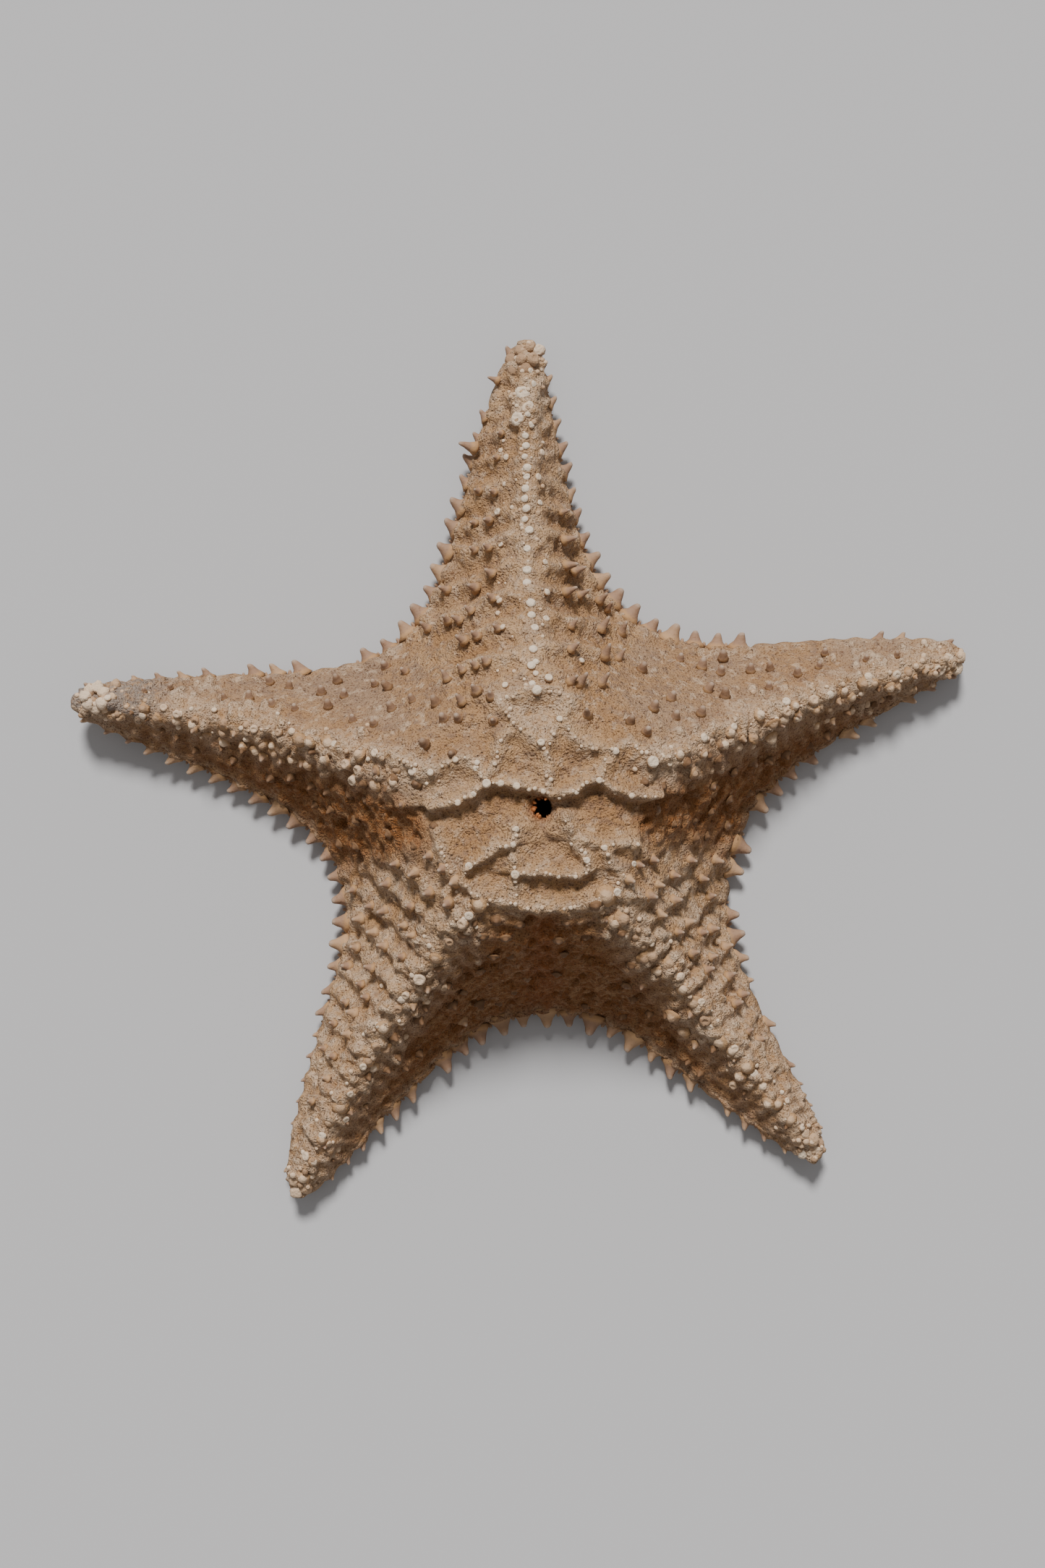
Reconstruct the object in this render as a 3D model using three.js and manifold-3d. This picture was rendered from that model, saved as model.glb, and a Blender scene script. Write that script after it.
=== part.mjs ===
// A dried cushion sea star, lying on its mouth side. Millimetres, +Z up: the domed,
// spiny back faces up and the flat mouth side rests on z = 0. The animal dried as one
// hard piece of skin and fused plates, so it is one solid with nothing to take apart.

import * as THREE from 'three';
import { mergeVertices } from 'three/addons/utils/BufferGeometryUtils.js';
import Module from 'manifold-3d';

// ---- Driving dimensions ------------------------------------------------------------

// Each arm leaves the disc on the bearing `root` and has swung to the bearing `tip` at
// its end (degrees from +X, counter-clockwise). `reach` is from the disc's axis to the
// arm's end, `spread` is how broad the arm is, `lean` sets its ridge aside, towards its
// clockwise edge where it is positive, `lift` is how far its end curls up off the
// surface, and `bay` is the rim's distance from the axis in the bay that follows it.
const ARMS = [
  { root: 25.0, tip: 20.2, reach: 111, spread: 0.285, lean: 0.1, lift: 1.5, bay: 52.0 },
  { root: 96.6, tip: 91.9, reach: 116, spread: 0.305, lean: 0.3, lift: 1.0, bay: 54.5 },
  { root: 163.6, tip: 167.0, reach: 118, spread: 0.31, lean: 0.12, lift: 6.0, bay: 52.5 },
  { root: 233.5, tip: 237.5, reach: 113, spread: 0.325, lean: 0.07, lift: 0.5, bay: 50.5 },
  { root: 307.0, tip: 308.6, reach: 110, spread: 0.265, lean: -0.15, lift: 1.0, bay: 49.0 },
];

// Where the disc's axis stands, so that the whole outline is centred on the origin.
const DISC_X = 5.36;
const DISC_Y = -10.5;

// Plan of the body: how the arms narrow and how blunt they end. Past SWING_START an arm
// begins to swing from its root bearing to its tip bearing.
const ARM_TAPER = 1.1;
const TIP_OVERRUN = 10;
const TIP_BLUNTNESS = 26;
const SWING_START = 55;

// Section of the body: the upright rim, the walls that climb from it, and the dome.
const RIM_HEIGHT = 5.2;
const RIM_MIDDLE = 3.1;
const RIM_BULGE = 1.3;
const WALL_SLOPE = 1.62;
const WALL_FLARE = 3.2;
const HUB_HEIGHT = 46;
const HUB_FALL = 0.007;
const HUB_FALL_EASES = 40;
const HUB_BLEND = 2.6;
const RIDGE_SHARPNESS = 5;

// Openings: the hole in the middle of the back goes right through to the mouth, and one
// food groove runs out from the mouth under each arm.
const HOLE_RADIUS = 2.4;
const MOUTH_RADIUS = 6;
const MOUTH_DEPTH = 7;
const GROOVE_ROOT_RADIUS = 3;
const GROOVE_TIP_RADIUS = 1.2;
const GROOVE_SHORT_OF_TIP = 9;

// Spines round the rim, and the blunt knobs along each arm's ridge.
const SPINE_SPACING = 5.7;
const SPINE_LENGTH = 5.2;
const SPINE_RADIUS = 2.3;
const SPINE_RISE = 12;
const KNOB_SPACING = 9.5;
const KNOB_START = 27;
const KNOB_RADIUS = 1.7;
const KNOB_HEIGHT = 1.5;

// Fineness of the body's mesh.
const MERIDIANS = 140;
const BACK_RINGS = 12;
const RIM_RINGS = 3;
const SOLE_RINGS = 3;
const OUTLINE_POINTS = 1600;

const toRadians = THREE.MathUtils.degToRad;
const { smoothstep } = THREE.MathUtils;

// ---- Plan of the body --------------------------------------------------------------

// The arm whose sector holds a bearing, how far aside of its line the bearing is (0 on
// the line, 1 in the middle of the bay), on which side, and the radius of that bay.
function sectorAt(bearing) {
  let best = null;
  ARMS.forEach((arm, i) => {
    const offset = THREE.MathUtils.euclideanModulo(bearing - arm.root + 180, 360) - 180;
    const neighbour = ARMS[(i + (offset > 0 ? 1 : ARMS.length - 1)) % ARMS.length];
    const gap = THREE.MathUtils.euclideanModulo((neighbour.root - arm.root) * Math.sign(offset || 1), 360);
    const aside = Math.abs(offset) / (gap / 2);
    if (!best || aside < best.aside) {
      const side = offset > 0 ? 1 : -1;
      const bay = offset > 0 ? arm.bay : neighbour.bay;
      best = { arm, aside, side, bay };
    }
  });
  return best;
}

// Distance from the disc's axis to the rim on a bearing.
function rimRadius(bearing) {
  const { arm, aside, bay } = sectorAt(bearing);
  const fall = (u) => Math.exp(-((u / arm.spread) ** ARM_TAPER));
  const across = (2 / Math.PI) * Math.sin((Math.PI / 2) * aside);
  const foot = fall(2 / Math.PI);
  const share = (fall(across) - foot) / (1 - foot);
  const pointed = bay + (arm.reach + TIP_OVERRUN - bay) * share;
  return (pointed ** -TIP_BLUNTNESS + arm.reach ** -TIP_BLUNTNESS) ** (-1 / TIP_BLUNTNESS);
}

// A place on the plan, from a bearing and a distance, with the arm's swing put in.
function planPoint(bearing, radius) {
  const { arm } = sectorAt(bearing);
  const outward = Math.max(0, (radius - SWING_START) / (arm.reach - SWING_START));
  const swung = toRadians(bearing + (arm.tip - arm.root) * outward);
  return new THREE.Vector2(radius * Math.cos(swung), radius * Math.sin(swung));
}

// How far the sole is lifted off the surface: only towards the end of an arm.
function liftAt(bearing, radius) {
  const { arm } = sectorAt(bearing);
  return arm.lift * smoothstep(radius, 0.62 * arm.reach, arm.reach) ** 1.5;
}

// The rim as a closed run of points at even steps along its length, starting in the
// middle of the bay before the first arm. Each point keeps its bearing.
function evenRim(count) {
  const start = (ARMS[0].root + ARMS[4].root - 360) / 2;
  const fine = [];
  for (let i = 0; i <= 7200; i++) {
    const bearing = start + i / 20;
    fine.push({ bearing, at: planPoint(bearing, rimRadius(bearing)), run: 0 });
    if (i > 0) {
      fine[i].run = fine[i - 1].run + fine[i].at.distanceTo(fine[i - 1].at);
    }
  }
  const total = fine.at(-1).run;
  const rim = [];
  let k = 0;
  for (let i = 0; i < count; i++) {
    while (fine[k].run < (total * i) / count) {
      k++;
    }
    rim.push(fine[k]);
  }
  return { rim, step: total / count };
}

// ---- Height of the back ------------------------------------------------------------

const { rim: fineRim, step: fineStep } = evenRim(OUTLINE_POINTS);
const STRAIGHT_EDGE_SUM = 4 / 3;

// How fast the wall climbs from each rim point: an arm that leans is steeper on the
// side it leans to and gentler on the other, and the bays between arms are even.
for (const point of fineRim) {
  const { arm, aside, side } = sectorAt(point.bearing);
  point.climb = 1 - side * arm.lean * Math.sin(Math.PI * Math.min(1, 1.6 * aside));
}

// Distance in from the rim, rounded over where two sides meet, so that it has the
// arms' ridges as soft crests.
function depthInside(at) {
  let sum = 0;
  for (const point of fineRim) {
    const gap = Math.max(at.distanceTo(point.at), fineStep / 2) * point.climb;
    sum += (fineStep * point.climb) / gap ** RIDGE_SHARPNESS;
  }
  return (sum / STRAIGHT_EDGE_SUM) ** (-1 / (RIDGE_SHARPNESS - 1));
}

// The walls climb from the rim until they meet the dome, and the meeting is rounded.
function backHeight(at) {
  const depth = depthInside(at);
  const wall = RIM_HEIGHT + (WALL_SLOPE * depth * depth) / (depth + WALL_FLARE);
  const dome = HUB_HEIGHT - (HUB_FALL * at.lengthSq()) / (1 + at.length() / HUB_FALL_EASES);
  const blend = Math.exp(-wall / HUB_BLEND) + Math.exp(-dome / HUB_BLEND);
  return -HUB_BLEND * Math.log(blend);
}

// ---- Solids ------------------------------------------------------------------------

const manifold = await Module();
manifold.setup();

// A closed solid from a three.js geometry.
function solidFrom(geometry) {
  const bare = new THREE.BufferGeometry();
  bare.setAttribute('position', geometry.getAttribute('position'));
  bare.setIndex(geometry.getIndex());
  const merged = mergeVertices(bare, 1e-4);
  return new manifold.Manifold(new manifold.Mesh({
    numProp: 3,
    vertProperties: new Float32Array(merged.getAttribute('position').array),
    triVerts: new Uint32Array(merged.getIndex().array),
  }));
}

// The body is a sphere pulled into shape: its meridians run out to the rim and back
// under the sole, and its parallels become smaller stars within the rim.
function bodyGeometry() {
  const rings = BACK_RINGS + RIM_RINGS + SOLE_RINGS;
  const geometry = new THREE.SphereGeometry(1, MERIDIANS, rings);
  const position = geometry.getAttribute('position');
  const { rim } = evenRim(MERIDIANS);
  for (let k = 0; k < position.count; k++) {
    const { bearing } = rim[(k % (MERIDIANS + 1)) % MERIDIANS];
    const ring = Math.floor(k / (MERIDIANS + 1));
    const full = rimRadius(bearing);
    let radius = full - RIM_BULGE;
    let height = 0;
    if (ring <= BACK_RINGS) {
      radius *= ring / BACK_RINGS;
      height = ring === BACK_RINGS ? RIM_HEIGHT : backHeight(planPoint(bearing, radius));
    } else if (ring === BACK_RINGS + 1) {
      radius = full;
      height = RIM_MIDDLE;
    } else if (ring >= BACK_RINGS + RIM_RINGS) {
      radius *= (rings - ring) / SOLE_RINGS;
    } else {
      radius = full - RIM_BULGE / 3;
      height = RIM_MIDDLE / 3;
    }
    const at = planPoint(bearing, radius);
    position.setXYZ(k, at.x, at.y, height + liftAt(bearing, radius));
  }
  return geometry;
}

// One food groove: a tapering rod laid under an arm and swung with it.
function grooveGeometry(arm) {
  const length = arm.reach - GROOVE_SHORT_OF_TIP;
  const rod = new THREE.CylinderGeometry(GROOVE_TIP_RADIUS, GROOVE_ROOT_RADIUS, length, 8, 6);
  rod.rotateZ(-Math.PI / 2);
  rod.translate(length / 2, 0, 0);
  const position = rod.getAttribute('position');
  for (let k = 0; k < position.count; k++) {
    const radius = Math.hypot(position.getX(k), position.getY(k));
    const bearing = arm.root + THREE.MathUtils.radToDeg(Math.atan2(position.getY(k), position.getX(k)));
    const at = planPoint(bearing, radius);
    position.setXYZ(k, at.x, at.y, position.getZ(k) + liftAt(bearing, radius));
  }
  return rod;
}

// The hole through the disc, with the wider mouth at its lower end.
function throatGeometry() {
  const overrun = 2;
  const profile = [
    new THREE.Vector2(0, -overrun),
    new THREE.Vector2(MOUTH_RADIUS, -overrun),
    new THREE.Vector2(MOUTH_RADIUS, 0),
    new THREE.Vector2(HOLE_RADIUS, MOUTH_DEPTH),
    new THREE.Vector2(HOLE_RADIUS, HUB_HEIGHT + overrun),
    new THREE.Vector2(0, HUB_HEIGHT + overrun),
  ];
  return new THREE.LatheGeometry(profile, 12).rotateX(Math.PI / 2);
}

// The spines of the rim: stout cones that point out and a little up. They are largest
// in the bays and shrink to grains at the arms' ends.
function rimSpines() {
  const spines = [];
  const { rim, step } = evenRim(OUTLINE_POINTS);
  const count = Math.round((OUTLINE_POINTS * step) / SPINE_SPACING);
  for (let i = 0; i < count; i++) {
    const index = Math.round(((i + 0.5) * OUTLINE_POINTS) / count) % OUTLINE_POINTS;
    const here = rim[index];
    const before = rim[(index + OUTLINE_POINTS - 4) % OUTLINE_POINTS].at;
    const after = rim[(index + 4) % OUTLINE_POINTS].at;
    const radius = here.at.length();
    const { arm } = sectorAt(here.bearing);
    const size = 1 - 0.62 * smoothstep(radius, SWING_START, arm.reach);
    const outward = new THREE.Vector3(after.y - before.y, before.x - after.x, 0).normalize();
    outward.z = Math.tan(toRadians(SPINE_RISE));
    outward.normalize();
    const buried = 2.2;
    const cone = new THREE.ConeGeometry(SPINE_RADIUS * size, SPINE_LENGTH * size + buried, 5);
    cone.translate(0, (SPINE_LENGTH * size + buried) / 2 - buried, 0);
    cone.applyQuaternion(new THREE.Quaternion().setFromUnitVectors(new THREE.Vector3(0, 1, 0), outward));
    cone.translate(here.at.x, here.at.y, RIM_MIDDLE + 0.4 + liftAt(here.bearing, radius));
    spines.push(cone);
  }
  return spines;
}

// The knobs of the ridges: low round-topped studs in one row along each arm.
function ridgeKnobs() {
  const knobs = [];
  for (const arm of ARMS) {
    for (let radius = KNOB_START; radius < arm.reach - 8; radius += KNOB_SPACING) {
      const at = planPoint(arm.root, radius);
      const sunk = 2.5;
      const size = 1 - 0.3 * (radius / arm.reach);
      const stud = new THREE.CylinderGeometry(
        KNOB_RADIUS * size * 0.7, KNOB_RADIUS * size * 1.25, KNOB_HEIGHT + sunk, 5);
      stud.rotateX(Math.PI / 2);
      const top = backHeight(at) + liftAt(arm.root, radius);
      stud.translate(at.x, at.y, top + (KNOB_HEIGHT - sunk) / 2);
      knobs.push(stud);
    }
  }
  return knobs;
}

// ---- The star ----------------------------------------------------------------------

let star = solidFrom(bodyGeometry());
star = star.subtract(solidFrom(throatGeometry()));
for (const arm of ARMS) {
  star = star.subtract(solidFrom(grooveGeometry(arm)));
}
for (const piece of [...rimSpines(), ...ridgeKnobs()]) {
  star = star.add(solidFrom(piece));
}

const finished = star.getMesh();
const geometry = new THREE.BufferGeometry();
geometry.setAttribute('position', new THREE.BufferAttribute(finished.vertProperties, 3));
geometry.setIndex(new THREE.BufferAttribute(finished.triVerts, 1));

const driedSkin = new THREE.MeshStandardMaterial({ color: 0xa38668, roughness: 0.9, metalness: 0 });
const starfish = new THREE.Mesh(geometry, driedSkin);
starfish.name = 'starfish';
starfish.position.set(DISC_X, DISC_Y, 0);

const object = new THREE.Group();
object.add(starfish);

export default object;
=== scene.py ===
import math
import random

import bmesh
import bpy
import numpy as np
from mathutils import Matrix, Vector, noise
from mathutils.bvhtree import BVHTree
from mathutils.kdtree import KDTree


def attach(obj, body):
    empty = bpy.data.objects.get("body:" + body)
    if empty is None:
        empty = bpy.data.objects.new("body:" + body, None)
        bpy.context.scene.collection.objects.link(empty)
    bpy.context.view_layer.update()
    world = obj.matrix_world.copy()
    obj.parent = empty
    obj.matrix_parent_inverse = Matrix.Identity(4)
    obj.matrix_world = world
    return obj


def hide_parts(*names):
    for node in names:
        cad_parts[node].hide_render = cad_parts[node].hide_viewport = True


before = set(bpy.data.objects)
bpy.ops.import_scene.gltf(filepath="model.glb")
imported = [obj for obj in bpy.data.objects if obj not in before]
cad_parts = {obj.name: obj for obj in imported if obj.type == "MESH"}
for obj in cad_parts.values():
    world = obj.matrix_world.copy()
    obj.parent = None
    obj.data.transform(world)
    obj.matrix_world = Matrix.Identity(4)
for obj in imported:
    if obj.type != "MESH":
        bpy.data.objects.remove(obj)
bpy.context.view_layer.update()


# ---- Plan of the star ----------------------------------------------------------------
# The real animal has a domed disc and five tapering arms. This section repeats the CAD
# body's outline and section, in millimetres about the disc's axis: every piece below
# is set out from it.

RIGHT, TOP, LEFT, LOW_LEFT, LOW_RIGHT = range(5)
# For each arm: its bearing at the disc and at its tip, its length, how broad it is, how
# far its ridge leans aside, how far its end curls up, and the rim of the bay after it.
ROOT = np.array([25.0, 96.6, 163.6, 233.5, 307.0])
TIP = np.array([20.2, 91.9, 167.0, 237.5, 308.6])
REACH = np.array([111.0, 116.0, 118.0, 113.0, 110.0])
SPREAD = np.array([0.285, 0.305, 0.31, 0.325, 0.265])
LEAN = np.array([0.1, 0.3, 0.12, 0.07, -0.15])
LIFT = np.array([1.5, 1.0, 6.0, 0.5, 1.0])
BAY = np.array([52.0, 54.5, 52.5, 50.5, 49.0])
GAP_AFTER = (np.roll(ROOT, -1) - ROOT) % 360
GAP_BEFORE = np.roll(GAP_AFTER, 1)
CREST_ASIDE = np.array([-1.5, -2.8, -1.0, -0.5, 1.8])
DISC = Vector((5.36, -10.5, 0))
MM = 0.001

ARM_TAPER = 1.1
TIP_OVERRUN = 10
TIP_BLUNTNESS = 26
SWING_START = 55
RIM_HEIGHT = 5.2
WALL_SLOPE = 1.62
WALL_FLARE = 3.2
HUB_HEIGHT = 46
HUB_FALL = 0.007
HUB_FALL_EASES = 40
HUB_BLEND = 2.6
SPINE_SPACING = 5.7


def ramp(value, low, high):
    """0 below low, 1 above high, and a smooth climb between."""
    share = np.clip((value - low) / (high - low), 0, 1)
    return share * share * (3 - 2 * share)


def sectors(bearing):
    """For bearings in a column: how far each is turned from each arm, and its arm."""
    turn = (bearing - ROOT + 180) % 360 - 180
    aside = np.abs(turn) / (np.where(turn > 0, GAP_AFTER, GAP_BEFORE) / 2)
    return turn, aside, aside.argmin(1)


def rim_radius(arm, turn, aside):
    """Distance from the disc's axis to the rim."""
    bay = np.where(turn > 0, BAY[arm], BAY[arm - 1])

    def fall(u):
        return np.exp(-((u / SPREAD[arm]) ** ARM_TAPER))

    foot = fall(2 / math.pi)
    share = (fall(2 / math.pi * np.sin(math.pi / 2 * aside)) - foot) / (1 - foot)
    pointed = bay + (REACH[arm] + TIP_OVERRUN - bay) * share
    blunt = pointed**-TIP_BLUNTNESS + REACH[arm] ** -TIP_BLUNTNESS
    return blunt ** (-1 / TIP_BLUNTNESS)


def swing(radius, arm=slice(None)):
    """Degrees that an arm has swung sideways at a distance from the axis."""
    outward = np.maximum(0, (radius - SWING_START) / (REACH[arm] - SWING_START))
    return (TIP - ROOT)[arm] * outward


def crest_aside(arm, radius):
    """How far an arm's crest has left the arm's middle line."""
    return CREST_ASIDE[arm] * ramp(radius, 20, 45)


def where(x, y):
    """The arm that each place belongs to, and its place along and across that arm."""
    radius = np.hypot(x, y)
    bearing = np.degrees(np.arctan2(y, x))
    turns, asides, arm = sectors(bearing[:, None] - swing(radius[:, None]))
    row = np.arange(len(x))
    turn, aside = turns[row, arm], asides[row, arm]
    return dict(
        radius=radius,
        arm=arm,
        aside=aside,
        turns=turns,
        asides=asides,
        rim=rim_radius(arm, turn, aside),
        along=radius * np.cos(np.radians(turn)),
        off=radius * np.sin(np.radians(turn)) - crest_aside(arm, radius),
    )


def on_arm(arm, along, off):
    """The plan place that is so far along an arm and so far aside of its crest."""
    across = off + float(crest_aside(arm, along))
    radius = math.hypot(along, across)
    bearing = ROOT[arm] + swing(radius, arm) + math.degrees(math.atan2(across, along))
    bearing = math.radians(bearing)
    return radius * math.cos(bearing), radius * math.sin(bearing)


def lift_at(arm, radius):
    """How far the sole is lifted off the surface, towards the end of an arm."""
    return LIFT[arm] * ramp(radius, 0.62 * REACH[arm], REACH[arm]) ** 1.5


# The outline is traced in fine steps of bearing, then cut into even steps of length.
OUTLINE_POINTS = 1600
FINE_STEPS = 20
fine_count = 360 * FINE_STEPS + 1
fine_bearing = (ROOT[0] + ROOT[4] - 360) / 2 + np.arange(fine_count) / FINE_STEPS
fine_turns, fine_asides, fine_arm = sectors(fine_bearing[:, None])
fine_row = np.arange(fine_count)
fine_turn = fine_turns[fine_row, fine_arm]
fine_aside = fine_asides[fine_row, fine_arm]
fine_radius = rim_radius(fine_arm, fine_turn, fine_aside)
fine_swung = np.radians(fine_bearing + swing(fine_radius, fine_arm))
fine_x = fine_radius * np.cos(fine_swung)
fine_y = fine_radius * np.sin(fine_swung)
fine_run = np.r_[0, np.cumsum(np.hypot(np.diff(fine_x), np.diff(fine_y)))]
rim_length = fine_run[-1]
rim_step = rim_length / OUTLINE_POINTS
even = np.searchsorted(fine_run, np.arange(OUTLINE_POINTS) * rim_step)
rim_x, rim_y, rim_arm = fine_x[even], fine_y[even], fine_arm[even]
rim_tangent = np.stack([np.roll(line, -4) - np.roll(line, 4) for line in (rim_x, rim_y)], 1)
rim_tangent /= np.linalg.norm(rim_tangent, axis=1)[:, None]
rim_outward = np.stack([rim_tangent[:, 1], -rim_tangent[:, 0]], 1)
rim_lean = LEAN[rim_arm] * np.sin(math.pi * np.minimum(1, 1.6 * fine_aside[even]))
rim_climb = 1 - np.sign(fine_turn[even]) * rim_lean
SPINE_COUNT = round(rim_length / SPINE_SPACING)
spine_phase = np.arange(OUTLINE_POINTS) * SPINE_COUNT / OUTLINE_POINTS


def depth_inside(x, y):
    """Distance in from the rim, rounded over where two sides meet."""
    depth = np.zeros(len(x))
    for start in range(0, len(x), 4000):
        part = slice(start, start + 4000)
        squared = (x[part, None] - rim_x) ** 2 + (y[part, None] - rim_y) ** 2
        gap = np.sqrt(np.maximum(squared, rim_step**2 / 4)) * rim_climb
        near = rim_step * rim_climb / (gap * gap * gap * gap * gap)
        depth[part] = (near.sum(1) * 3 / 4) ** -0.25
    return depth


def back_height(x, y):
    """Height of the bare back: walls that climb from the rim until they meet the dome."""
    depth = depth_inside(x, y)
    radius = np.hypot(x, y)
    wall = RIM_HEIGHT + WALL_SLOPE * depth * depth / (depth + WALL_FLARE)
    dome = HUB_HEIGHT - HUB_FALL * radius**2 / (1 + radius / HUB_FALL_EASES)
    return -HUB_BLEND * np.log(np.exp(-wall / HUB_BLEND) + np.exp(-dome / HUB_BLEND))


# ---- Where the spines, cones and warts stand -----------------------------------------
# Spines, cones and warts stand on plates that the skin is stretched over, in rows along
# each arm. Their places come first, because the skin swells round each of them.

# Each arm has two flanks: +1 is its counter-clockwise side, -1 its clockwise side.
SMOOTH, RIBBED, KNOTTED, WALL = "smooth", "ribbed", "knotted", "wall"
FLANKS = {
    (RIGHT, 1): SMOOTH,
    (RIGHT, -1): WALL,
    (TOP, 1): RIBBED,
    (TOP, -1): RIBBED,
    (LEFT, 1): WALL,
    (LEFT, -1): SMOOTH,
    (LOW_LEFT, 1): WALL,
    (LOW_LEFT, -1): KNOTTED,
    (LOW_RIGHT, 1): KNOTTED,
    (LOW_RIGHT, -1): WALL,
}
WALL_SIDE = {arm: side for (arm, side), kind in FLANKS.items() if kind == WALL}
FIRST_RIB = 24
RIB_PITCH = 7.0
RIB_RAKE = 0.22
KNOT_PITCH = 6.0
FOLD_PITCH = 4.3
ROWS = {
    SMOOTH: dict(pitch=6.4, offs=(6.5, 11, 15.5, 20.5, 26, 32), stray=1.9, kept=0.8),
    RIBBED: dict(pitch=RIB_PITCH, offs=(9.3, 12.6, 16.2, 20.4, 25, 30), stray=1.3, kept=0.82),
    KNOTTED: dict(pitch=KNOT_PITCH, offs=(6.4, 10.2, 14.4, 19.4, 25), stray=1.2, kept=0.9),
    WALL: dict(pitch=5.2, offs=(3.4, 7.0, 11.2, 16, 22), stray=1.3, kept=0.66),
}

dice = random.Random(11)
cone_places = []
for (arm, side), kind in FLANKS.items():
    rows = ROWS[kind]
    for row, off in enumerate(rows["offs"]):
        count = int((REACH[arm] - 26) / rows["pitch"])
        for station in range(count):
            shift = (row % 2) * 0.5 if kind in (SMOOTH, WALL) else 0
            along = FIRST_RIB + rows["pitch"] * (station + shift)
            along += dice.gauss(0, rows["stray"] * 0.45)
            aside = off + dice.gauss(0, rows["stray"] * 0.5)
            if kind == RIBBED:
                along -= RIB_RAKE * aside
            aside *= 1 - 0.3 * float(ramp(along, 60, 105))
            x, y = on_arm(arm, along, side * aside)
            kept = dice.random() < rows["kept"]
            here = where(np.array([x]), np.array([y]))
            inside = here["radius"][0] < here["rim"][0] - 1.5
            if kept and inside and here["arm"][0] == arm and here["aside"][0] < 0.97:
                cone_places.append(dict(x=x, y=y, side=side, kind=kind, row=row, along=along))
cone_depth = depth_inside(*np.array([(place["x"], place["y"]) for place in cone_places]).T)
cone_places = [place for place, depth in zip(cone_places, cone_depth) if depth > 2.6]

# The rim's thorns, of which some have worn down to a stump.
STUMP = 0.3
dice = random.Random(23)
teeth = []
for i in range(SPINE_COUNT):
    index = round((i + 0.5) * OUTLINE_POINTS / SPINE_COUNT) % OUTLINE_POINTS
    arm, side = rim_arm[index], 1 if fine_turn[even[index]] > 0 else -1
    radius = math.hypot(rim_x[index], rim_y[index])
    outer = float(ramp(radius, SWING_START, REACH[arm]))
    lost = 0.34 if FLANKS[(arm, side)] == SMOOTH and radius > 57 else 0.1 + 0.1 * outer
    lost = 1 if radius > REACH[arm] - 2.5 else lost
    size = (1 - 0.52 * outer) * dice.uniform(0.76, 1.12)
    size *= 0.72 if FLANKS[(arm, side)] == KNOTTED and radius > 60 else 1
    size *= STUMP if dice.random() < lost else 1
    teeth.append(dict(index=index, arm=arm, radius=radius, size=size))

# Warts of the four arms' crests and of all the arms' ends: place, radius and height.
dice = random.Random(29)
warts = []
for arm, wall_side in WALL_SIDE.items():
    along = FIRST_RIB
    while along < REACH[arm] - 3:
        aside = dice.gauss(0.7 - 3.8 * float(ramp(along, 62, 88)), 3.4)
        place = on_arm(arm, along, wall_side * aside)
        warts.append((*place, dice.uniform(0.75, 1.4), dice.uniform(0.55, 1.3)))
        along += dice.uniform(0.35, 1.0)
for arm in range(5):
    for _ in range(36):
        place = on_arm(arm, REACH[arm] - abs(dice.gauss(0, 9)) - 1.5, dice.gauss(0, 4))
        warts.append((*place, dice.uniform(0.8, 1.5), dice.uniform(0.4, 1.0)))


# ---- Ridges of the hub ---------------------------------------------------------------
# Round the hole the plates have dried into raised, beaded ridges, with the skin sagging
# between them like canvas over ropes. Two of them and the brow over the hole have
# slumped into ledges that drop away on their lower side.

BROW = [
    (-25.8, 0.5), (-19.3, 1.8), (-15.7, 3.8), (-12.7, 6.2), (-9.5, 6.2), (-5.9, 5.6), (-2.6, 5.1),
    (0.2, 4.2), (2, 3.4), (7.7, 4.2), (9.5, 5.9), (12.9, 6.9), (15.4, 5.1), (20.3, 3.4),
    (24.3, 2.9), (26.5, 3.4),
]
SHELF = [
    (-6.7, -7.7), (-10.3, -8.5), (-13.2, -10.9), (-16.8, -12.6), (-18.5, -16.2), (-14.4, -19.9),
]
SILL = [
    (-6.2, -14.5), (-0.2, -14.2), (3.9, -14.5), (8, -15), (10.9, -13.4), (10.1, -11.3), (6.9, -6.4),
]
CHIN = [
    (-22.5, -27), (-16.8, -24), (-14.4, -20.3), (-7.8, -21.1), (-2.1, -22.4), (3.1, -22.4),
    (9.3, -21.6), (12.6, -19.9), (17, -18.6), (18.6, -14.2),
]
LEDGES = [(BROW, 3.6), (SHELF, 1.15), (SILL, 1.3)]
TRIANGLE = [
    (0.3, 14.1), (-6.2, 20.1), (-10.3, 25), (-4.6, 26.6), (-1.3, 27.5), (3.1, 27.1), (6.4, 25.5),
    (4.4, 20.6), (0.3, 14.1), (1.5, 10), (1.1, 4.2),
]
RIDGES = [
    BROW,
    SHELF,
    SILL,
    CHIN,
    TRIANGLE,
    [
        (-38, 13.5), (-30.7, 10.8), (-25.5, 8.7), (-19.8, 11.6), (-16.8, 11.9), (-15.2, 10.3),
        (-12.7, 6.2),
    ],
    [(-6.2, 20.1), (-9.2, 16), (-11.1, 10.3), (-12.7, 6.2)],
    [(4.4, 20.6), (8.5, 14.9), (14.2, 14.1), (16.7, 13.6), (14.2, 10.3), (12.9, 6.9)],
    [(16.7, 13.6), (19.9, 15.7), (25.2, 11.1), (31.7, 14)],
    [(-6, -4.2), (-6.7, -7.7), (-6.2, -14.5), (-6.2, -21.1)],
    [(-24.2, -5.2), (-22.5, -10.9), (-20.9, -14.2)],
    [(5.2, -1.5), (6, -4.4), (6.9, -6.4), (10.1, -6.9), (14.2, -8.5), (18.3, -7.7), (21.6, -8)],
    [(14.2, -8.5), (15.8, -12.6), (18.3, -14.2), (21.5, -19.5)],
]


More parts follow.
